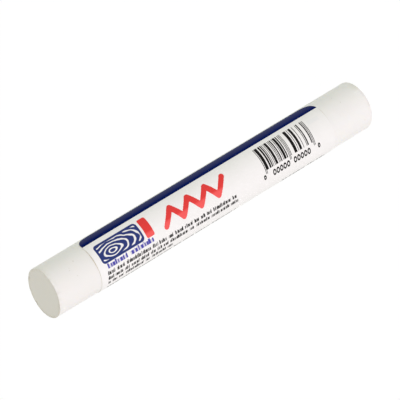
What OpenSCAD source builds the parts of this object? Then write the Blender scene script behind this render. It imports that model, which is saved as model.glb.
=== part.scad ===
// Furniture repair wax stick: a chopped rod of soft filler wax with a die-cut label wrapped round it.
// The stick stands on its square end, with +Z along the rod and the origin at the centre of that end.

/* [Wax stick] */
// Length of the rod along its axis, to the middle of the slanted end
stick_length = 127; // [115:1:180]
// Diameter of the rod
stick_d = 16.2; // [12:0.1:25]
// Radius that handling wears on the rims of both ends
rim_round = 0.2; // [0.2:0.1:1.5]
// Degrees that the chopped upper end leans off square
cut_slant = 4; // [0:0.5:8]
// Degrees round the rod from the label's banded edge to the high side of the cut
cut_turn = 160; // [0:5:355]

/* [Label] */
// Length of the label along the rod
label_length = 95; // [60:1:105]
// Bare wax between the middle of the slanted end and the label
label_drop = 15.7; // [4:0.1:30]
// Bare strip of wax between the label's two long edges, measured round the rod
seam_gap = 5.8; // [1:0.1:12]
// Radius of the label's die-cut corners
label_corner_r = 4.2; // [1:0.1:5]
// Thickness of the label's film
film_t = 0.12; // [0.1:0.01:0.4]
// Thickness of the coat of adhesive under the film
adhesive_t = 0.04; // [0.03:0.01:0.2]
// Clearance between the wax and the adhesive, so that their round faces stay apart
bond_gap = 0.01; // [0.005:0.005:0.05]

/* [Printed band] */
// Width of the ink band along one long edge of the label
band_width = 4.4; // [2:0.1:10]
// Depth of the ink in the film, flush with its face
ink_t = 0.06; // [0.03:0.01:0.08]

/* [Hidden] */
$fn = 96;

// Room that cutting shapes take past the faces they cut
overrun = 1;

stick_r = stick_d / 2;
adhesive_r = stick_r + bond_gap;
film_r = adhesive_r + adhesive_t;
label_r = film_r + film_t;
label_top = stick_length - label_drop;
label_bottom = label_top - label_length;

// The bare strip is centred between +X and +Y, so the label reaches all four sides of the rod's box.
seam_middle = 45;
seam_angle = seam_gap / stick_r * 180 / PI;
wrap_angle = 360 - seam_angle;
banded_edge = seam_middle - seam_angle / 2;
plain_edge = banded_edge - wrap_angle;
band_angle = band_width / label_r * 180 / PI;

// Each corner's arc runs a little past the label's straight edges, so that it crosses them cleanly.
corner_overrun = 0.04;
corner_inset = label_corner_r - corner_overrun;
corner_angle = asin(corner_inset / label_r);

// The slanted cut's outline is an ellipse: the mean of its half widths
cut_r = stick_r * (1 + 1 / cos(cut_slant)) / 2;
// Degrees of arc on the cut's worn rim, from the cut face to where it meets the rod's side
rim_sweep = 45;

// Rod with a square foot whose rim is rounded, longer than the stick so that the upper end can be chopped.
module uncut_rod() {
    rotate_extrude() {
        square([stick_r - rim_round, stick_length]);
        translate([0, rim_round]) square([stick_r, stick_length + stick_r - rim_round]);
        translate([stick_r - rim_round, rim_round]) circle(r = rim_round);
    }
}

// Space left by the chop: everything below a disc with a worn rim, tilted with the cut.
module below_the_cut() {
    rim_x = cut_r - rim_round * sin(rim_sweep);
    depth = 2 * stick_length;
    rotate([0, 0, banded_edge - cut_turn])
        translate([0, 0, stick_length])
            rotate([0, -cut_slant, 0])
                rotate_extrude() {
                    translate([0, -depth]) square([rim_x, depth]);
                    translate([0, -depth]) square([2 * stick_r, depth - rim_round]);
                    translate([rim_x, -rim_round]) circle(r = rim_round);
                }
}

module wax_stick() {
    color("ivory")
        intersection() {
            uncut_rod();
            below_the_cut();
        }
}

// Part of a tube from one angle to another, between two heights.
module sector(r_in, r_out, from_angle, to_angle, bottom, top) {
    rotate([0, 0, from_angle])
        rotate_extrude(angle = to_angle - from_angle)
            translate([r_in, bottom]) square([r_out - r_in, top - bottom]);
}

// What a die takes off a square corner: the corner's centre lies on +X, its edges towards +Y and +Z.
module corner_waste() {
    reach = label_corner_r + overrun;
    inner_x = stick_r * cos(corner_angle) - overrun;
    difference() {
        translate([inner_x, 0, 0]) cube([label_r + overrun - inner_x, reach, reach]);
        rotate([0, 90, 0]) cylinder(r = label_corner_r, h = label_r + 2 * overrun);
    }
}

// Both corners of one long edge. The side is 1 where the label ends on the angle's rising side, -1 on the other.
module edge_waste(edge_angle, side) {
    rotate([0, 0, edge_angle - side * corner_angle])
        mirror([0, side < 0 ? 1 : 0, 0]) {
            translate([0, 0, label_top - corner_inset]) corner_waste();
            translate([0, 0, label_bottom + corner_inset]) mirror([0, 0, 1]) corner_waste();
        }
}

// One layer of the label: a sheet wrapped round the rod, with its four corners rounded.
module wrapped_sheet(r_in, r_out) {
    difference() {
        sector(r_in, r_out, plain_edge, banded_edge, label_bottom, label_top);
        edge_waste(banded_edge, 1);
        edge_waste(plain_edge, -1);
    }
}

module label_adhesive() {
    color("wheat") wrapped_sheet(adhesive_r, film_r);
}

module label_film() {
    color("white")
        difference() {
            wrapped_sheet(film_r, label_r);
            sector(
                label_r - ink_t,
                label_r + overrun,
                banded_edge - band_angle,
                banded_edge + seam_angle / 2,
                label_bottom - overrun,
                label_top + overrun
            );
        }
}

module label_band() {
    color("midnightblue")
        difference() {
            sector(label_r - ink_t, label_r, banded_edge - band_angle, banded_edge, label_bottom, label_top);
            edge_waste(banded_edge, 1);
        }
}

wax_stick();
label_adhesive();
label_film();
label_band();
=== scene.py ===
"""Furniture repair wax stick: the wax rod, its wrapped label and the label's ink, on a white floor."""
import math
import bpy
import numpy as np
from mathutils import Matrix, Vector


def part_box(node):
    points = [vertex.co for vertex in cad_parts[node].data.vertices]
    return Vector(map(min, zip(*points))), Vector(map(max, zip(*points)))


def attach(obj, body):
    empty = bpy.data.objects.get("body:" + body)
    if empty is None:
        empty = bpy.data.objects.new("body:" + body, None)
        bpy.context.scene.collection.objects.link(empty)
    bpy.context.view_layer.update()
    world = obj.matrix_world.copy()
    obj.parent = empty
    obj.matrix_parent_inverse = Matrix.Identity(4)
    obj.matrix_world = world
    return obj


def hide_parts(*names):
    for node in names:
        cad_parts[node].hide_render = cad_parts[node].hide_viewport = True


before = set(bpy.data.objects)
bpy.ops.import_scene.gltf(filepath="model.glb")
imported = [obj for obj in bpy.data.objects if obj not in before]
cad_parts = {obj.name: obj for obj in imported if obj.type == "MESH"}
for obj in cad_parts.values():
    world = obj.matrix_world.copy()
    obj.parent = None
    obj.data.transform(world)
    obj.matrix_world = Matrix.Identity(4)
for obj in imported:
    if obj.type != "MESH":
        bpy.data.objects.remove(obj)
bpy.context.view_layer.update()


# Wax rod
# A straight rod of soft off-white filler wax, cast smooth and chopped to length with a blade.
# The lower end is square, the upper one leans a little, and handling has dulled and chipped the rims.

# The object's sizes and places are in millimetres, and a mesh is scaled to metres when it is made
mm = 0.001
rod_r = 8.1
rod_length = 127.0
label_low, label_high = (np.array(corner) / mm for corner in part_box("label_film"))

# Columns round the rod, rows up its side and over a rim, and rings of an end face with the shares of the
# face's radius at which they start and end
rod_columns = 288
side_rows = 150
rim_rows = 12
face_rows = 14
face_inner_share = 0.04
face_outer_share = 0.97
sharp_edge = math.radians(50)

# Least radius of each rim, and how much more is worn away on one side of the rod
base_rim = 0.2
base_rim_worn = 0.7
base_rim_worn_side = math.radians(-124)
cut_rim = 0.14
cut_rim_worn = 0.1
cut_rim_worn_side = math.radians(48)

# Lean of the cut, its high side and the length of rod that takes the lean up
cut_slant = math.radians(4)
cut_high_side = math.radians(-135.5)
cut_reach = 13.0

# Dust by the rims: the band that holds it and the edge where it is full, then the line of dust round the
# cut, from a share of the face's radius outwards and thickest on one side
rim_band = 1.5
rim_edge = 0.2
rim_dust = 0.16
rim_line_from = 0.9
rim_line_dust = 0.5
rim_line_side = math.radians(160)

# Azimuth in degrees, width along the rim and depth of each chip out of the cut's rim, the share of its depth
# by which a chip cuts in and down, and the dust that it holds for each millimetre of depth
rim_chips = [(140, 0.4, 0.1), (198, 0.45, 0.1), (174, 0.4, 0.05), (-64, 0.4, 0.05), (73, 0.8, 0.08)]
chip_bite = 0.7
chip_dust = 5.0
chip_dust_most = 0.9

# Swell of the bare side: its depth, and the waves round the rod, radians to the millimetre up it and start
# of each sine. It fades out towards the label, and over a thin skin at the rims.
swell_depth = 0.02
swell_waves = [(3, 0.31, 0.0), (5, -0.23, 1.3), (1, 0.9, 0.0)]
swell_fade = 3.0
swell_skin = 0.05

# Ripple that the blade leaves on the cut: its height, its radians to the millimetre and, in radians too, the
# azimuth that it runs towards
blade_ripple = 0.012
blade_ripple_rate = 2.1
blade_ripple_side = 0.7


def eased(x, low, high):
    """0 below low, 1 above high and the cubic S-curve 3t^2 - 2t^3 between them."""
    t = np.clip((x - low) / (high - low), 0, 1)
    return t * t * (3 - 2 * t)


def worn_rim(least, more, side, angle):
    """Radius of a rim: its least, and more towards one side of the rod by the cosine squared."""
    return least + more * np.clip(np.cos(angle - side), 0, 1) ** 2


def rod_profile(angle):
    """Rings of the rod before swell, chips and lean: radius, height, and shares of cut face and rim line.

    The profile runs from the middle of the base out to its rim, up the side, over the cut's rim and in to
    the middle of the cut. Each rim is a quarter circle.
    """
    ring = np.ones_like(angle)
    foot = worn_rim(base_rim, base_rim_worn, base_rim_worn_side, angle)
    rim = worn_rim(cut_rim, cut_rim_worn, cut_rim_worn_side, angle)
    out = np.linspace(face_inner_share, face_outer_share, face_rows)[:, None]
    arc = np.linspace(0, np.pi / 2, rim_rows)[:, None]
    climb = np.linspace(0, 1, side_rows)[1:-1, None]
    radius = np.concatenate(
        [
            (rod_r - foot) * out,
            rod_r - foot + foot * np.sin(arc),
            rod_r * np.ones_like(climb) * ring,
            rod_r - rim + rim * np.cos(arc),
            (rod_r - rim) * out[::-1],
        ]
    )
    height = np.concatenate(
        [
            0 * out * ring,
            foot * (1 - np.cos(arc)),
            foot + climb * (rod_length - rim - foot),
            rod_length - rim + rim * np.sin(arc),
            rod_length + 0 * out * ring,
        ]
    )
    below = [0 * out, 0 * arc, 0 * climb]
    cut_share = np.concatenate(below + [np.sin(arc) ** 3, 0 * out + 1]) * ring
    rim_line = np.concatenate(below + [np.sin(arc), eased(out[::-1], rim_line_from, 1)]) * ring
    return radius, height, cut_share, rim_line


def chip_depth(angle):
    """Depth of the chips round the rim: a sum of bell curves of the distance along it."""
    depth_there = 0 * angle
    for azimuth, width, depth in rim_chips:
        around = np.angle(np.exp(1j * (angle - math.radians(azimuth)))) * rod_r
        depth_there = depth_there + depth * np.exp(-((around / width) ** 2))
    return depth_there


def wax_rod_surface():
    """Points of the rod, their share of cut face and the dust on them.

    The bare side sinks by a sum of sines, brought between 0 and 1, and the cut ripples by one sine. Chips
    cut in and down. Near the cut the height is sheared by tan(slant) times the distance to the high side.
    """
    angle = np.linspace(0, 2 * np.pi, rod_columns, endpoint=False)
    radius, height, cut_share, rim_line = rod_profile(angle)
    outermost = eased(radius, rod_r - rim_band, rod_r - rim_edge)
    by_cut_rim = outermost * eased(height, rod_length - rim_band, rod_length - rim_edge)
    by_base_rim = outermost * (1 - eased(height, rim_edge, rim_band))
    chip = chip_depth(angle) * by_cut_rim

    past_low_end = eased(height, label_low[2] - swell_fade, label_low[2])
    past_high_end = eased(height, label_high[2], label_high[2] + swell_fade)
    bare_side = (1 - past_low_end * (1 - past_high_end)) * eased(radius, rod_r - swell_skin, rod_r)
    swell = sum(np.sin(around * angle + up * height + start) for around, up, start in swell_waves)
    swell_share = (len(swell_waves) + swell) / (2 * len(swell_waves))
    radius = radius - swell_depth * swell_share * bare_side
    ripple = np.sin(blade_ripple_rate * radius * np.cos(angle - blade_ripple_side))
    height = height + blade_ripple * ripple * cut_share
    radius = radius - chip_bite * chip
    height = height - chip_bite * chip
    lean = eased(height, rod_length - cut_reach, rod_length - 2 * cut_rim)
    height = height + math.tan(cut_slant) * radius * np.cos(angle - cut_high_side) * lean

    points = np.stack([radius * np.cos(angle), radius * np.sin(angle), height], axis=-1)
    line = rim_line * (1 + np.cos(angle - rim_line_side)) / 2
    grime = np.maximum(by_cut_rim, by_base_rim) * rim_dust + line * rim_line_dust
    return points, cut_share, grime + np.clip(chip * chip_dust, 0, chip_dust_most)


def grid_faces(rows, columns, joined):
    """Quads between neighbouring points of a grid of rows; joined links the last column to the first."""
    row = np.arange(rows - 1)[:, None] * columns
    column = np.arange(columns if joined else columns - 1)[None, :]
    following = (column + 1) % columns
    corners = [row + column, row + following, row + columns + following, row + columns + column]
    return np.stack(corners, axis=-1).reshape(-1, 4)


def add_piece(name, points, faces):
    """Object at the origin whose mesh has the points, given in millimetres, and the faces."""
    mesh = bpy.data.meshes.new(name)
    mesh.from_pydata((points * mm).tolist(), [], faces)
    mesh.shade_smooth()
    mesh.set_sharp_from_angle(angle=sharp_edge)
    piece = bpy.data.objects.new(name, mesh)
    bpy.context.scene.collection.objects.link(piece)
    return piece


def add_measure(piece, name, values):
    """Stores one number, or one vector of three, at each point of a piece for its material to read."""
    if values.ndim == 1:
        piece.data.attributes.new(name, "FLOAT", "POINT").data.foreach_set("value", values)
    else:
        piece.data.attributes.new(name, "FLOAT_VECTOR", "POINT").data.foreach_set("vector", values.ravel())


class Field:
    """One socket of a material's nodes. Operators between fields and numbers add Math nodes."""

    def __init__(self, tree, socket=None):
        self.tree = tree
        self.socket = socket

    def make(self, kind, settings, sockets, output=0):
        """Adds a node, applies its settings, fills its sockets with values or links, and gives one output."""
        node = self.tree.nodes.new(kind)
        for name, value in settings.items():
            setattr(node, name, value)
        for name, value in sockets.items():
            if isinstance(value, Field):
                self.tree.links.new(value.socket, node.inputs[name])
            else:
                node.inputs[name].default_value = value
        return Field(self.tree, node.outputs[output])

    def maths(self, operation, *values):
        """A Math node's operation on values, each a field or a number."""
        return self.make("ShaderNodeMath", {"operation": operation}, dict(enumerate(values)))

    def __add__(self, other):
        return self.maths("ADD", self, other)

    def __sub__(self, other):
        return self.maths("SUBTRACT", self, other)

    def __rsub__(self, other):
        return self.maths("SUBTRACT", other, self)

    def __mul__(self, other):
        return self.maths("MULTIPLY", self, other)

    def __truediv__(self, other):
        return self.maths("DIVIDE", self, other)

    def __abs__(self):
        return self.maths("ABSOLUTE", self)

    __radd__ = __add__
    __rmul__ = __mul__

    def rise(self, low, high):
        """0 at low and beyond, 1 at high and beyond, with a smooth S between; low may be the larger."""
        span = {"Value": self, "From Min": low, "From Max": high}
        return self.make("ShaderNodeMapRange", {"interpolation_type": "SMOOTHSTEP"}, span)

    def into(self, shader, socket):
        """Links the field to a shader's socket."""
        self.tree.links.new(self.socket, shader.inputs[socket])


def new_finish(name):
    """A material, a field to start its expressions from, and its shader."""
    material = bpy.data.materials.new(name)
    material.use_nodes = True
    return material, Field(material.node_tree), material.node_tree.nodes["Principled BSDF"]


def measured(start, name, output="Fac"):
    """What the points of a piece hold under a name: a number, or a vector where the output says so."""
    return start.make("ShaderNodeAttribute", {"attribute_name": name}, {}, output)


def coordinate(vector, axis):
    """One coordinate of a vector."""
    return vector.make("ShaderNodeSeparateXYZ", {}, {"Vector": vector}, axis)


# Numbers of a Mix node's sockets for colours, whose names its other sockets share
mix_share, mix_colour, mix_other, mix_result = 0, 6, 7, 2


def tinted(share, colour, other):
    """Colour where share is 0, other where it is 1."""
    sockets = {mix_share: share, mix_colour: colour, mix_other: other}
    return share.make("ShaderNodeMix", {"data_type": "RGBA"}, sockets, mix_result)


def strongest(first, *others):
    """The largest of a field and of other fields or numbers."""
    for other in others:
        first = first.maths("MAXIMUM", first, other)
    return first


def noise(place, scale, detail=2.0):
    """Smooth noise about 0.5 over a place, with about as many bumps to the unit as the scale says."""
    return place.make("ShaderNodeTexNoise", {}, {"Vector": place, "Scale": scale, "Detail": detail})


def raise_bumps(shader, height, strength, depth):
    """Bumps on a shader's surface by a field of heights, each unit of it so many millimetres high."""
    sockets = {"Strength": strength, "Distance": depth * mm, "Height": height}
    height.make("ShaderNodeBump", {}, sockets).into(shader, "Normal")


def drawn_out(place, stretch):
    """The place with its height over the stretch, so that a pattern on it is drawn out along the rod."""
    return place.make("ShaderNodeMapping", {}, {"Vector": place, "Scale": (1, 1, 1 / stretch)})


# Azimuth in degrees, height, radius and strength of each spot on the bare wax: pits and specks of dust, then
# stains, then scuffs drawn out along the rod, painted pale as highlights. A spot is full within a share of
# its radius.
wax_specks = [
    (-22, 116.8, 0.4, 0.2),
    (-36, 119.7, 0.3, 0.2),
    (-31, 119.4, 0.25, 0.2),
    (-54, 118.4, 0.3, 0.2),
    (-26, 8.7, 0.26, 0.3),
    (-4, 9.7, 0.26, 0.3),
    (-92, 3.5, 0.24, 0.3),
    (93, 120.6, 0.24, 0.3),
    (158, 115.2, 0.3, 0.3),
    (203, 7.4, 0.26, 0.3),
    (118, 11.8, 0.22, 0.3),
    (44, 62.0, 0.24, 0.3),
    (140, 127.0, 1.1, 0.8),
    (198, 127.4, 0.8, 0.7),
]
wax_stains = [(-8, 0.6, 2.4, 0.22), (163, 124.6, 1.8, 0.15)]
wax_scuff_highlights = [(-24, 1.3, 0.4, 1.0), (116, 121.5, 0.24, 0.5)]
scuff_highlight_stretch = 5.0
spot_core = 0.3

wax_colour = (0.905, 0.885, 0.872, 1)
# Painted shade: the bare wax above the label is darker and yellower, evening out the light between the ends
wax_upper_end_shade_colour = (0.88, 0.86, 0.842, 1)
wax_cloud_colour = (0.915, 0.9, 0.89, 1)
# Colour of the cut face: partly the cut wax's own warmer tone, partly painted shade for the dimmer light on
# the end
wax_cut_tone_and_shade_colour = (0.85, 0.815, 0.765, 1)
wax_grime_colour = (0.42, 0.36, 0.26, 1)
wax_speck_colour = (0.45, 0.4, 0.3, 1)
wax_stain_colour = (0.7, 0.68, 0.5, 1)
# Painted highlight: the scuffs are paler than the wax, for small facets that catch the lamp
wax_scuff_highlight_colour = (0.96, 0.94, 0.92, 1)

# Bumps to the metre of the noise for each pattern, and the levels of noise between which it comes in
wax_cloud_scale = 160
wax_cloud_levels = (0.3, 0.7)
wax_streak_scale = 700
wax_streak_stretch = 10
wax_grain_scale = 2600
wax_dust_scale = 900
wax_dust_levels = (0.3, 0.75)

# Shares of clouds and streaks in the pale patches, the most of the painted shade that darkens the bare wax
# above the label, and the most that dust covers
wax_cloud_share = 0.6
wax_streak_share = 0.4
wax_upper_end_shade_most = 0.9
wax_dust_most = 0.8

# Roughness of the side, its swing with the clouds and what the cut adds, then the height of streaks and the
# depth of specks, where the grain's height is 1
wax_roughness = 0.5
wax_cloud_roughness = 0.16
wax_cut_roughness = 0.1
wax_streak_height = 0.8
wax_speck_depth = 6


def round_spots(place, spots, stretch=1.0):
    """Strongest of the spots on the rod's side, each full at its centre and gone at its radius."""
    flattened = drawn_out(place, stretch)
    shares = []
    for azimuth, height, radius, strength in spots:
        around = math.radians(azimuth)
        centre = (rod_r * math.cos(around) * mm, rod_r * math.sin(around) * mm, height / stretch * mm)
        ends = {0: flattened, 1: centre}
        away = place.make("ShaderNodeVectorMath", {"operation": "DISTANCE"}, ends, "Value")
        shares.append(strength * away.rise(radius * mm, spot_core * radius * mm))
    return strongest(*shares)


def wax_finish():
    """Satin wax, cloudy off-white: faint streaks along the rod, a warmer cut partly of painted shade, dust at
    the rims.
    """
    material, start, shader = new_finish("filler_wax")
    place = start.make("ShaderNodeTexCoord", {}, {}, "Object")
    cloud = noise(place, wax_cloud_scale, detail=3)
    streak = noise(drawn_out(place, wax_streak_stretch), wax_streak_scale)
    grain = noise(place, wax_grain_scale, detail=3)
    cut = measured(start, "cut_share")
    speck = round_spots(place, wax_specks)
    patches = (cloud * wax_cloud_share + streak * wax_streak_share).rise(*wax_cloud_levels)
    # Painted shade that rises from the label's lower end to its top and darkens the bare wax above the label
    upper_end_shade = coordinate(place, "Z").rise(label_low[2] * mm, label_high[2] * mm) * wax_upper_end_shade_most
    dust = measured(start, "grime") * noise(place, wax_dust_scale, detail=4).rise(*wax_dust_levels)
    colour = tinted(patches, wax_colour, wax_cloud_colour)
    colour = tinted(upper_end_shade, colour, wax_upper_end_shade_colour)
    colour = tinted(round_spots(place, wax_stains), colour, wax_stain_colour)
    # Painted highlight on the scuffs
    colour = tinted(round_spots(place, wax_scuff_highlights, scuff_highlight_stretch), colour, wax_scuff_highlight_colour)
    # Painted shade in part: the cut face is darker and warmer than the side
    colour = tinted(cut, colour, wax_cut_tone_and_shade_colour)
    colour = tinted(dust.maths("MINIMUM", dust, wax_dust_most), colour, wax_grime_colour)
    tinted(speck, colour, wax_speck_colour).into(shader, "Base Color")
    roughness = wax_roughness + wax_cloud_roughness * (cloud - 0.5) + wax_cut_roughness * cut
    roughness.into(shader, "Roughness")
    relief = grain + streak * wax_streak_height - speck * wax_speck_depth
    raise_bumps(shader, relief, strength=0.35, depth=0.03)
    shader.inputs["Specular IOR Level"].default_value = 0.2
    shader.inputs["Subsurface Weight"].default_value = 0.12
    shader.inputs["Subsurface Radius"].default_value = (1.0, 0.85, 0.6)
    shader.inputs["Subsurface Scale"].default_value = 1.2 * mm
    return material


rod_points, rod_cut, rod_grime = wax_rod_surface()
rod_rows = rod_points.shape[0]
ring_start = np.arange(rod_columns)
ring_next = (ring_start + 1) % rod_columns
last_ring = (rod_rows - 1) * rod_columns
base_pole = np.full(rod_columns, rod_rows * rod_columns)
cut_pole = base_pole + 1
base_fan = np.stack([base_pole, ring_next, ring_start], axis=-1)
cut_fan = np.stack([cut_pole, last_ring + ring_start, last_ring + ring_next], axis=-1)
poles = np.array([[0, 0, 0], [0, 0, rod_length]])
wax_rod = add_piece(
    "wax_rod",
    np.concatenate([rod_points.reshape(-1, 3), poles]),
    grid_faces(rod_rows, rod_columns, True).tolist() + base_fan.tolist() + cut_fan.tolist(),
)
add_measure(wax_rod, "cut_share", np.append(rod_cut.ravel(), [0.0, 1.0]))
add_measure(wax_rod, "grime", np.append(rod_grime.ravel(), [0.0, 0.0]))
wax_rod.data.materials.append(wax_finish())
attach(wax_rod, "root")
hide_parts("wax_stick")


# Adhesive
# The tacky coat on the label's back, which holds the label round the rod.
# Pressing squeezes a hair of it out past the die-cut edges, where it picks up dust and turns tan.
# A wider stretch of that tan bead at each end is also a painted shadow along the label's edge.

# Layers of the label from the wax outwards, and the bare strip between the label's long edges
bond_gap = 0.01
adhesive_t = 0.04
film_t = 0.12
seam_gap = 5.8
seam_middle = math.radians(45)
label_corner_r = 4.2
adhesive_r = rod_r + bond_gap
film_r = adhesive_r + adhesive_t
label_r = film_r + film_t
seam_angle = seam_gap / rod_r
banded_edge = seam_middle - seam_angle / 2
label_top = label_high[2]
label_length = label_high[2] - label_low[2]
label_width = (2 * math.pi - seam_angle) * label_r

# Rows in a corner and between the corners, and columns across the coat
corner_rows = 14
middle_rows = 120
adhesive_columns = 130

# Bead squeezed out: its mean width and swing, then for the ends and for the long edges the radians to the
# millimetre of a quick wave, that wave's start and the radians to the millimetre of a slow one
ooze_mean = 0.03
ooze_swing = 0.03
ooze_end_waves = (1.7, 0.4, 0.61)
ooze_edge_waves = (0.83, 1.1, 0.37)

# Thick stretch of the bead at each end, partly squeezed-out adhesive and partly a painted shadow of the
# label's
# edge: how much wider it is, where it lies round the rod and how far it spreads, then the share of the top
# end's bead that the lower end has
bead_and_shadow_blob = 0.22
bead_and_shadow_top_v = 10.0
bead_and_shadow_low_v = 7.4
bead_and_shadow_width = 3.2
lower_end_share = 0.6

adhesive_colour = (0.62, 0.55, 0.43, 1)
adhesive_dust_colour = (0.78, 0.73, 0.64, 1)
adhesive_dust_scale = 1500
adhesive_dust_levels = (0.35, 0.7)
adhesive_roughness = 0.45
adhesive_dust_roughness = 0.4


def die_cut_rows():
    """Distances of the rows from the label's top edge, and how far a row's ends are drawn in by the corners.

    In a corner of radius r the rows lie at r(1 - cos a) and are drawn in by r(1 - sin a), a up to 90 degrees.
    """
    turn = np.linspace(0, np.pi / 2, corner_rows)
    down = label_corner_r * (1 - np.cos(turn))
    inset = label_corner_r * (1 - np.sin(turn))
    middle = np.linspace(label_corner_r, label_length - label_corner_r, middle_rows)[1:-1]
    rows = np.concatenate([down, middle, label_length - down[::-1]])
    insets = np.concatenate([inset, 0 * middle, inset[::-1]])
    return rows[:, None], insets[:, None]


def ooze_along(way, waves):
    """Width of the bead: a mean, and a swing by the product of a quick and a slow sine of the way."""
    quick, start, slow = waves
    return ooze_mean + ooze_swing * np.sin(quick * way + start) * np.sin(slow * way)


def wrapped(u, v, radius):
    """Label millimetres on the rod: u down from the top edge, v round the rod from the banded edge."""
    around = banded_edge - v / label_r
    places = np.broadcast_arrays(radius * np.cos(around), radius * np.sin(around), label_top - u)
    return np.stack(places, axis=-1)


def add_sheet(name, u, v, outer_r, inner_r):
    """Closed sheet: an outer and an inner grid of the same label points, with a wall along their border."""
    u, v, outer_r, inner_r = np.broadcast_arrays(u, v, outer_r, inner_r)
    rows, columns = u.shape
    number = np.arange(rows * columns).reshape(rows, columns)
    outer = grid_faces(rows, columns, False)
    border = np.concatenate([number[0], number[1:, -1], number[-1, -2::-1], number[-2:0:-1, 0]])
    onward = np.roll(border, -1)
    inner_start = rows * columns
    wall = np.stack([onward, border, border + inner_start, onward + inner_start], axis=-1)
    faces = np.concatenate([outer, outer[:, ::-1] + inner_start, wall])
    both = [wrapped(u, v, outer_r).reshape(-1, 3), wrapped(u, v, inner_r).reshape(-1, 3)]
    piece = add_piece(name, np.concatenate(both), faces.tolist())
    flat = np.stack([u, v, outer_r - label_r], axis=-1).reshape(-1, 3)
    add_measure(piece, "label_mm", np.concatenate([flat, flat]))
    return piece


def adhesive_finish():
    """Dull tan adhesive with pale dust stuck in it."""
    material, start, shader = new_finish("tacky_adhesive")
    place = start.make("ShaderNodeTexCoord", {}, {}, "Object")
    dust = noise(place, adhesive_dust_scale, detail=4)
    colour = tinted(dust.rise(*adhesive_dust_levels), adhesive_colour, adhesive_dust_colour)
    colour.into(shader, "Base Color")
    (adhesive_roughness + adhesive_dust_roughness * dust).into(shader, "Roughness")
    raise_bumps(shader, dust, strength=0.5, depth=0.03)
    shader.inputs["Specular IOR Level"].default_value = 0.25
    return material


rows_u, row_inset = die_cut_rows()
across = np.linspace(0, 1, adhesive_columns)[None, :]
coat_v = row_inset + across * (label_width - 2 * row_inset)
# Painted shadow in part: the bead widens into a dark tan line where the label's edge throws its shade
blob_v = bead_and_shadow_top_v + (bead_and_shadow_low_v - bead_and_shadow_top_v) * rows_u / label_length
blob = bead_and_shadow_blob * np.exp(-(((coat_v - blob_v) / bead_and_shadow_width) ** 2))
end_ooze = ooze_along(coat_v, ooze_end_waves) + blob
end_share = rows_u / label_length * (1 + lower_end_share) - 1
edge_ooze = ooze_along(rows_u, ooze_edge_waves)
edge_share = 2 * across - 1
adhesive_coat = add_sheet(
    "adhesive_coat",
    rows_u + end_share * end_ooze,
    coat_v + edge_share * edge_ooze,
    film_r,
    adhesive_r,
)
adhesive_coat.data.materials.append(adhesive_finish())
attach(adhesive_coat, "root")
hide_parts("label_adhesive")


# Label
# A sheet of white satin film, die-cut with round corners, printed flat and rolled round the rod by hand.
# One spot of its top edge has lifted a little. The band along one long edge is sunk for its own ink.

# The band's width and depth, the run of the step up from it, and the round of the film's cut edge
band_width = 4.4
ink_t = 0.06
step_run = 0.01
film_edge_round = 0.04

# Columns across the band and the face, and the powers that crowd them towards the long edges
band_columns = 12
band_crowding = 1.4
face_columns = 150
face_crowding = 1.2

# Lifted spot of the top edge: its height, how far down the label it reaches, its place and its spread
lift_height = 0.1
lift_length = 2.4
lift_v = 8.9
lift_width = 1.7


def film_radius(u, v):
    """Radius of the label's face, which drops as a quarter circle at the outline.

    The distance inside the outline is that of a rectangle with round corners.
    """
    along = np.abs(u - label_length / 2) - (label_length / 2 - label_corner_r)
    across = np.abs(v - label_width / 2) - (label_width / 2 - label_corner_r)
    beyond = np.hypot(np.maximum(along, 0), np.maximum(across, 0))
    inside = label_corner_r - beyond - np.minimum(np.maximum(along, across), 0)
    short = np.clip(film_edge_round - inside, 0, film_edge_round)
    return label_r - film_edge_round + np.sqrt(film_edge_round**2 - short**2)


def edge_lift(u, v):
    """Lift of the top edge's loose spot: a bell curve across, dying away down the label."""
    return lift_height * np.exp(-(((v - lift_v) / lift_width) ** 2)) * (1 - eased(u, 0, lift_length))


# The print is laid out in label millimetres, and a box is its first and last u, then its first and last v.
# An edge of the print is soft over this much to either side.
print_edge = 0.06


def between(field, low, high):
    """1 where a field lies between two values, with the soft edges of print."""
    return field.rise(low - print_edge, low + print_edge) * field.rise(high + print_edge, high - print_edge)


def counted(index, first, last):
    """1 where a whole number is one of those from first to last."""
    return between(index, first - 0.5, last + 0.5)


def in_box(u, v, box):
    """1 inside a rectangle: the share between its ends times the share between its long sides."""
    return between(u, box[0], box[1]) * between(v, box[2], box[3])


def noise_along(field):
    """Smooth noise about 0.5 along one field, with about one bump for each unit of it."""
    sockets = {"W": field, "Scale": 1.0, "Detail": 0.0}
    return field.make("ShaderNodeTexNoise", {"noise_dimensions": "1D"}, sockets)


def chance_of(number):
    """White noise between 0 and 1, unlike for each whole number."""
    return number.make("ShaderNodeTexWhiteNoise", {"noise_dimensions": "1D"}, {"W": number})


def rounded_box(u, v, box, corner):
    """1 inside a rectangle with round corners, from the length of what lies past its corner centres."""
    u_low, u_high, v_low, v_high = box
    along = abs(u - (u_low + u_high) / 2) - ((u_high - u_low) / 2 - corner)
    across = abs(v - (v_low + v_high) / 2) - ((v_high - v_low) / 2 - corner)
    along = strongest(along, 0.0)
    across = strongest(across, 0.0)
    beyond = u.maths("SQRT", along * along + across * across)
    return beyond.rise(corner + print_edge, corner - print_edge)


# Panel with growth rings inside a margin, and the colour chip beside it
panel_box = (2.1, 18.5, 6.15, 12.75)
panel_corner = 1.2
panel_margin = 0.75
chip_box = (19.3, 22.3, 6.15, 12.75)
chip_corner = 0.6

# The rings' centre, their stretch along the rod, their pitch, half a line as a share of the pitch, and how
# far and how often they waver
ring_centre = (7.4, 10.2)
ring_stretch = 2.4
ring_pitch = 0.95
ring_line = 0.17
ring_waver = 0.9
ring_waver_scale = 0.35


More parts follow.
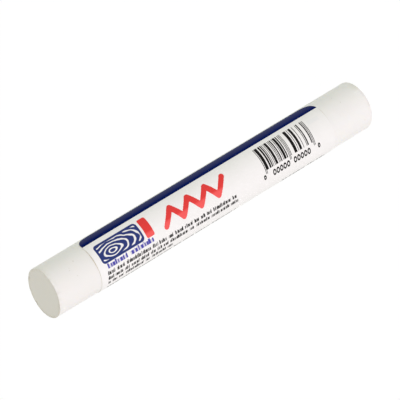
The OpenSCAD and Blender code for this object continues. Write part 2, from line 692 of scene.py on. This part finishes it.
def growth_rings(u, v, waver):
    """Lines of growth rings: the fraction of a stretched distance from the ring centre over the pitch."""
    along = (u - ring_centre[0]) / ring_stretch
    across = v - ring_centre[1]
    away = u.maths("SQRT", along * along + across * across) + waver * ring_waver
    step = away / ring_pitch
    fraction = step - step.maths("FLOOR", step)
    return abs(fraction - 0.5).rise(ring_line + print_edge, ring_line - print_edge)


# Crayon stroke: where it starts, its lines and each one's run along the rod, its middle and its swing to
# either side, half its thickness, the fray and grain of its edge, and its lean
stroke_start = 27.3
stroke_lines = 7
stroke_run = 3.5
stroke_middle = 10.3
stroke_swing = 2.3
stroke_half = 0.94
stroke_fray = 0.3
stroke_grain_scale = 2.6
stroke_slant = 0.12


def rub_stroke(u, v, grain):
    """Crayon stroke to and fro: leaning zig-zag lines, each with round ends, folded onto the first of them.

    Ping-pong folds the way along the stroke onto one line's run. The distance is then that of a point from
    the line: the point less the nearest place on the line, which is its projection held within the length.
    """
    run = stroke_run
    drop = -2 * stroke_swing
    length = math.hypot(run, drop)
    way = u - stroke_start + (v - stroke_middle) * stroke_slant
    held = u.maths("MINIMUM", strongest(way, 0.0), stroke_lines * run)
    along = held.maths("PINGPONG", held, run) + way - held
    down = v - stroke_middle - stroke_swing
    reach = (along * run + down * drop) / length
    reach = u.maths("MINIMUM", strongest(reach, 0.0), length)
    off_along = along - reach * (run / length)
    off_down = down - reach * (drop / length)
    away = u.maths("SQRT", off_along * off_along + off_down * off_down)
    return (away - (grain - 0.5) * stroke_fray).rise(stroke_half + print_edge, stroke_half - print_edge)


# Noise along a row for its words, strokes and tall strokes: bumps to the millimetre, shift for each unit of
# the row's seed, and the two levels between which it comes in
word_noise = (0.78, 13.7, 0.32, 0.37)
stroke_noise = (1.9, 31.3, 0.33, 0.55)
tall_noise = (1.3, 7.9, 0.56, 0.6)

# Top and foot of the strokes in shares of the row, how far the tall ones rise above that and how soft both
# are, then the ink between the strokes and what a stroke adds
word_top = 0.25
word_foot = 0.8
tall_rise = 0.2
word_soft = 0.04
gap_ink = 0.3
stroke_ink = 0.68


def row_noise(u, seed, size, kind):
    """Share along a row: noise with so many bumps to the millimetre, risen between two levels."""
    per_mm, shift, low, high = kind
    return noise_along(u * (per_mm / size) + seed * shift).rise(low, high)


def blurred_words(u, height, seed, size=1.0):
    """Words in a row, blurred: noise along the row makes the words, their strokes and the taller strokes.

    The height runs from 0 at the row's top to 1 at its foot, and the size stretches the words along it.
    """
    word = row_noise(u, seed, size, word_noise)
    stroke = row_noise(u, seed, size, stroke_noise)
    tall = row_noise(u, seed, size, tall_noise)
    below_top = (height + tall * tall_rise).rise(word_top - word_soft, word_top + word_soft)
    above_foot = height.rise(word_foot + word_soft, word_foot - word_soft)
    return word * below_top * above_foot * (gap_ink + stroke_ink * stroke)


# Rows of fine print: their pitch, the upper block, whose last row ends early, and the lower block in columns
row_pitch = 1.83
upper_start = 15.07
upper_rows = 3
upper_seed = 63.0
upper_last_end = 28.0
lower_start = 21.55
lower_rows = 5
lower_seed = 66.0
left_column = (2.5, 54.3)
right_column = (73.0, 91.5)


def print_rows(u, v, start, count, seed):
    """Rows of blurred words of one pitch, each with a seed of its own, and the rows' numbers."""
    row = (v - start) / row_pitch
    index = row.maths("FLOOR", row)
    return blurred_words(u, row - index, index + seed) * between(v, start, start + count * row_pitch), index


def fine_print(u, v):
    """An upper block of rows, whose last row is cut short, and a lower block in two columns."""
    upper, index = print_rows(u, v, upper_start, upper_rows, upper_seed)
    before_last = counted(index, 0, upper_rows - 2)
    kept = strongest(before_last, u.rise(upper_last_end, upper_last_end - print_edge))
    lower, _ = print_rows(u, v, lower_start, lower_rows, lower_seed)
    left = between(u, *left_column)
    return strongest(upper * left * kept, lower * strongest(left, between(u, *right_column)))


# Row of larger words under the panel
title_start = 12.75
title_pitch = 2.2
title_span = (3.2, 21.2)
title_seed = 8.4
title_size = 1.4


def title_print(u, v):
    """One row of larger blurred words."""
    words = blurred_words(u, (v - title_start) / title_pitch, title_seed, title_size)
    return words * between(u, *title_span) * between(v, title_start, title_start + title_pitch)


# Bars: their box, the foot of the longer guard bars, the modules across, the share of white among them, and
# the first and last module of each guard
bars_box = (66.5, 87.1, 5.95, 13.75)
bars_guard_foot = 14.95
bar_modules = 95
bar_seed = 204.0
bar_white_share = 0.52
guard_modules = ((0, 2), (45, 49), (92, 94))


def bar_print(u, v):
    """Bars of whole modules: white noise of a module's number decides whether it is black.

    Three narrow stretches hold guard bars instead, black on the even modules, which run on below the rest.
    """
    u_low, u_high, v_low, _ = bars_box
    module = (u - u_low) * (bar_modules / (u_high - u_low))
    index = module.maths("FLOOR", module)
    chance = chance_of(index + bar_seed)
    black = chance.maths("GREATER_THAN", chance, bar_white_share)
    even = 1 - index.maths("MODULO", index, 2.0)
    guard = strongest(*[counted(index, first, last) for first, last in guard_modules])
    return black * (1 - guard) * in_box(u, v, bars_box) + even * guard * between(v, v_low, bars_guard_foot)


# Plain zeros under the bars: the row's start, pitch, count, empty place and middle, half a zero's width and
# height, its line in shares of them, and the smaller zeros outside
zeros_start = 69.0
zeros_pitch = 1.44
zeros_count = 11
zeros_gap = 5
zeros_middle = 15.75
zero_half = (0.48, 0.82)
zero_stroke = 0.34
zero_soft = 0.06
outer_zeros = (65.8, 88.3)
outer_zero_share = 0.68


def zero_ring(along, v, share):
    """Ring of an ellipse: the distance from its centre in shares of its half width and half height."""
    x = along / (zero_half[0] * share)
    y = (v - zeros_middle) / (zero_half[1] * share)
    away = x.maths("SQRT", x * x + y * y)
    return abs(away - 1).rise(zero_stroke / share + zero_soft, zero_stroke / share)


def zeros_print(u, v):
    """Row of plain zeros under the bars, in two groups, with a smaller one on either side."""
    cell = (u - zeros_start) / zeros_pitch
    index = cell.maths("FLOOR", cell)
    along = (cell - index - 0.5) * zeros_pitch
    gap = counted(index, zeros_gap, zeros_gap)
    row = zero_ring(along, v, 1.0) * counted(index, 0, zeros_count - 1) * (1 - gap)
    return strongest(row, *[zero_ring(u - place, v, outer_zero_share) for place in outer_zeros])


film_colour = (0.935, 0.918, 0.915, 1)
film_cloud_colour = (0.922, 0.905, 0.9, 1)
navy_print = (0.028, 0.045, 0.19, 1)
indigo_print = (0.06, 0.052, 0.4, 1)
black_print = (0.008, 0.007, 0.007, 1)

# Red ink, its lighter painted sheen, and the stretch round the rod over which the sheen comes in
red_print = (0.785, 0.054, 0.05, 1)
red_sheen_print = (0.935, 0.12, 0.118, 1)
red_sheen_from, red_sheen_to = 10.6, 11.7

# Faint patch by the bars, and the share of its ink
patch_box = (87.9, 92.5, 7.05, 8.45)
patch_print = (0.74, 0.79, 0.84, 1)
patch_ink = 0.3

# Bumps to the millimetre of the film's clouds and fibre, then its roughness, the fibre's swing in it and what
# ink takes off it
film_cloud_scale = 0.25
film_cloud_levels = (0.35, 0.65)
film_fibre_scale = 5.0
film_roughness = 0.5
film_fibre_roughness = 0.1
film_ink_polish = 0.1


def label_finish():
    """Satin white film and its print: each ink lies over the last, by a mask on the label's millimetres."""
    material, start, shader = new_finish("printed_film")
    flat = measured(start, "label_mm", "Vector")
    u = coordinate(flat, "X")
    v = coordinate(flat, "Y")
    cloud = noise(flat, film_cloud_scale, detail=3)
    fibre = noise(flat, film_fibre_scale, detail=3)
    waver = noise(flat, ring_waver_scale, detail=1) - 0.5
    panel = rounded_box(u, v, panel_box, panel_corner)
    u_low, u_high, v_low, v_high = panel_box
    ring_box = (u_low + panel_margin, u_high - panel_margin, v_low + panel_margin, v_high - panel_margin)
    rings = growth_rings(u, v, waver) * rounded_box(u, v, ring_box, panel_corner - panel_margin)
    chip = rounded_box(u, v, chip_box, chip_corner)
    stroke = rub_stroke(u, v, noise(flat, stroke_grain_scale, detail=3))
    bars = strongest(bar_print(u, v), zeros_print(u, v))
    # Painted sheen: the red turns lighter past a line round the rod
    red = tinted(v.rise(red_sheen_from, red_sheen_to), red_print, red_sheen_print)
    colour = tinted(cloud.rise(*film_cloud_levels), film_colour, film_cloud_colour)
    colour = tinted(in_box(u, v, patch_box) * patch_ink * fibre, colour, patch_print)
    colour = tinted(fine_print(u, v), colour, black_print)
    colour = tinted(bars, colour, black_print)
    colour = tinted(title_print(u, v), colour, indigo_print)
    colour = tinted(panel, colour, navy_print)
    colour = tinted(rings, colour, film_colour)
    tinted(strongest(stroke, chip), colour, red).into(shader, "Base Color")
    inked = strongest(panel, stroke, bars)
    roughness = film_roughness + film_fibre_roughness * (fibre - 0.5) - film_ink_polish * inked
    roughness.into(shader, "Roughness")
    raise_bumps(shader, fibre + cloud, strength=0.25, depth=0.02)
    shader.inputs["Specular IOR Level"].default_value = 0.07
    return material


band_share = np.linspace(0, 1, band_columns)[None, :] ** band_crowding
face_share = 1 - (1 - np.linspace(0, 1, face_columns)[None, :]) ** face_crowding
band_v = row_inset + band_share * (band_width - step_run - row_inset)
face_v = band_width + face_share * (label_width - row_inset - band_width)
film_v = np.concatenate([band_v, face_v], axis=1)
sunk = np.concatenate([0 * band_v + ink_t, 0 * face_v], axis=1)
film_outer = np.where(sunk > 0, label_r - ink_t, film_radius(rows_u, film_v)) + edge_lift(rows_u, film_v)
label_sheet = add_sheet("label_sheet", rows_u, film_v, film_outer, film_r + edge_lift(rows_u, film_v))
label_sheet.data.materials.append(label_finish())
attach(label_sheet, "root")
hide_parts("label_film")


# Ink band
# A band of navy ink printed along one long edge of the label, bleeding off its ends and round its corners.
# It lies flush in the film, slightly mottled, under a thin varnish that only shines at a slant.

navy_ink = (0.0004, 0.0076, 0.1, 1)
navy_ink_thin = (0.0015, 0.0112, 0.114, 1)
ink_mottle_scale = 0.9
ink_mottle_levels = (0.35, 0.7)
ink_roughness = 0.24
ink_mottle_roughness = 0.1

# The varnish's share, and how far the band turns from the eye where it starts to shine and shines in full
varnish_share = 0.215
varnish_from, varnish_to = 0.4, 0.51


def band_finish():
    """Navy ink laid on a little unevenly, under a thin varnish that shines where it turns away."""
    material, start, shader = new_finish("navy_ink")
    flat = measured(start, "label_mm", "Vector")
    mottle = noise(flat, ink_mottle_scale, detail=4)
    tinted(mottle.rise(*ink_mottle_levels), navy_ink, navy_ink_thin).into(shader, "Base Color")
    (ink_roughness + ink_mottle_roughness * (mottle - 0.5)).into(shader, "Roughness")
    turned = start.make("ShaderNodeLayerWeight", {}, {"Blend": 0.5}, "Facing")
    (turned.rise(varnish_from, varnish_to) * varnish_share).into(shader, "Coat Weight")
    raise_bumps(shader, noise(flat, film_fibre_scale, detail=3), strength=0.15, depth=0.02)
    shader.inputs["Specular IOR Level"].default_value = 0.003
    shader.inputs["Coat Roughness"].default_value = 0.12
    return material


ink_v = row_inset + band_share * (band_width - row_inset)
ink_band = add_sheet("ink_band", rows_u, ink_v, film_radius(rows_u, ink_v), label_r - ink_t)
ink_band.data.materials.append(band_finish())
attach(ink_band, "root")
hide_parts("label_band")


# Floor
# A wide white floor that the stick stands on. The camera, gloss and glass see it glow white, apart from
# a small share of plain diffuse white that keeps the stick's shadow. That share comes out below white,
# so the glow is a little over 1 to make the whole white.

# The floor reaches so many metres out, and lies so many millimetres under the stick
floor_reach = 4.0
floor_drop = 0.02
floor_glow_share = 0.9
floor_glow = 1.04
floor_colour = (0.97, 0.97, 0.97, 1)


def seen_directly(start):
    """1 for rays from the camera and for rays that gloss or glass sends on."""
    kinds = ("Is Camera Ray", "Is Glossy Ray", "Is Transmission Ray")
    return strongest(*[start.make("ShaderNodeLightPath", {}, {}, kind) for kind in kinds])


def floor_finish():
    """Glowing white mixed with plain diffuse white, by what the ray comes from."""
    material, start, shader = new_finish("white_floor")
    output = material.node_tree.nodes["Material Output"]
    glow = start.make("ShaderNodeEmission", {}, {"Strength": floor_glow})
    plain = start.make("ShaderNodeBsdfDiffuse", {}, {"Color": floor_colour})
    share = seen_directly(start) * floor_glow_share
    start.make("ShaderNodeMixShader", {}, {0: share, 1: plain, 2: glow}).into(output, "Surface")
    material.node_tree.nodes.remove(shader)
    return material


floor_corner = floor_reach / mm
floor = add_piece(
    "floor",
    np.array([[-1, -1, 0], [1, -1, 0], [1, 1, 0], [-1, 1, 0]]) * floor_corner - [0, 0, floor_drop],
    [(0, 1, 2, 3)],
)
floor.data.materials.append(floor_finish())


# Light
# A soft white room, dimmer overhead and a little green where nothing else lights the stick.
# One broad lamp, a touch pink, stands low on the left of the camera, which never sees the lamp itself.

# What reflections and the camera see of the room, and its light on the stick from the level and from overhead
room_white = (1, 1, 1, 1)
room_level_colour = (0.78, 0.865, 0.735, 1)
room_top_colour = (0.68, 0.65, 0.65, 1)

# Azimuth that the level camera's right-hand side points to, and the lamp's turn back from there and its climb
camera_right_side = math.radians(40.65)
lamp_turn = math.radians(125)
lamp_climb = math.radians(3)

# Distance, width and height of the lamp in metres
lamp_distance = 0.95
lamp_width = 0.6
lamp_height = 0.2
lamp_power = 2.68
lamp_colour = (1.0, 0.86, 1.028)

world = bpy.data.worlds.new("white_room")
world.use_nodes = True
bpy.context.scene.world = world
room = Field(world.node_tree)
room_climb = coordinate(room.make("ShaderNodeTexCoord", {}, {}, "Generated"), "Z")
room_soft = tinted(strongest(room_climb, 0.0), room_level_colour, room_top_colour)
room_light = tinted(seen_directly(room), room_soft, room_white)
room_light.into(world.node_tree.nodes["Background"], "Color")


def way_to(azimuth, climb):
    """Unit vector at an azimuth and a climb above the level."""
    return np.array(
        [
            math.cos(azimuth) * math.cos(climb),
            math.sin(azimuth) * math.cos(climb),
            math.sin(climb),
        ]
    )


def aimed(right, up, back, place):
    """Matrix of a lamp or camera that looks along minus back from a place."""
    turned = np.eye(4)
    turned[:3, :] = np.stack([right, up, back, place], axis=1)
    return Matrix(turned.tolist())


lamp_data = bpy.data.lights.new("lamp", "AREA")
lamp_data.shape = "RECTANGLE"
lamp_data.size = lamp_width
lamp_data.size_y = lamp_height
lamp_data.energy = lamp_power
lamp_data.color = lamp_colour
lamp = bpy.data.objects.new("lamp", lamp_data)
bpy.context.scene.collection.objects.link(lamp)
lamp_side = camera_right_side - lamp_turn
lamp_back = way_to(lamp_side, lamp_climb)
lamp_right = way_to(lamp_side + math.pi / 2, 0)
lamp_up = np.cross(lamp_back, lamp_right)
rod_middle = np.array([0, 0, rod_length / 2 * mm])
lamp.matrix_world = aimed(lamp_right, lamp_up, lamp_back, rod_middle + lamp_distance * lamp_back)
lamp.visible_camera = False


# Camera
# A long lens about a metre off, above the middle of the standing stick and looking down at it.
# It is rolled over, so that the stick lies across the picture with its slanted end to the lower left.

# Angles of the camera, then its distance, the point it aims at and its shift aside in metres
camera_elevation = math.radians(28.668)
camera_roll = math.radians(121.158)
camera_distance = 0.97414
camera_aim = np.array([0, 0, 0.065469])
camera_aside = -0.000245
camera_lens = 286.49
camera_sensor = 36.0

level_right = way_to(camera_right_side, 0)
camera_back = way_to(camera_right_side - math.pi / 2, camera_elevation)
level_up = np.cross(camera_back, level_right)
camera_right = math.cos(camera_roll) * level_right - math.sin(camera_roll) * level_up
camera_up = math.sin(camera_roll) * level_right + math.cos(camera_roll) * level_up
camera_data = bpy.data.cameras.new("camera")
camera_data.lens = camera_lens
camera_data.sensor_width = camera_sensor
camera_data.clip_start = 0.01
camera = bpy.data.objects.new("camera", camera_data)
bpy.context.scene.collection.objects.link(camera)
camera_place = camera_aim + camera_aside * level_right + camera_distance * camera_back
camera.matrix_world = aimed(camera_right, camera_up, camera_back, camera_place)
bpy.context.scene.camera = camera
bpy.context.scene.view_settings.view_transform = "Standard"
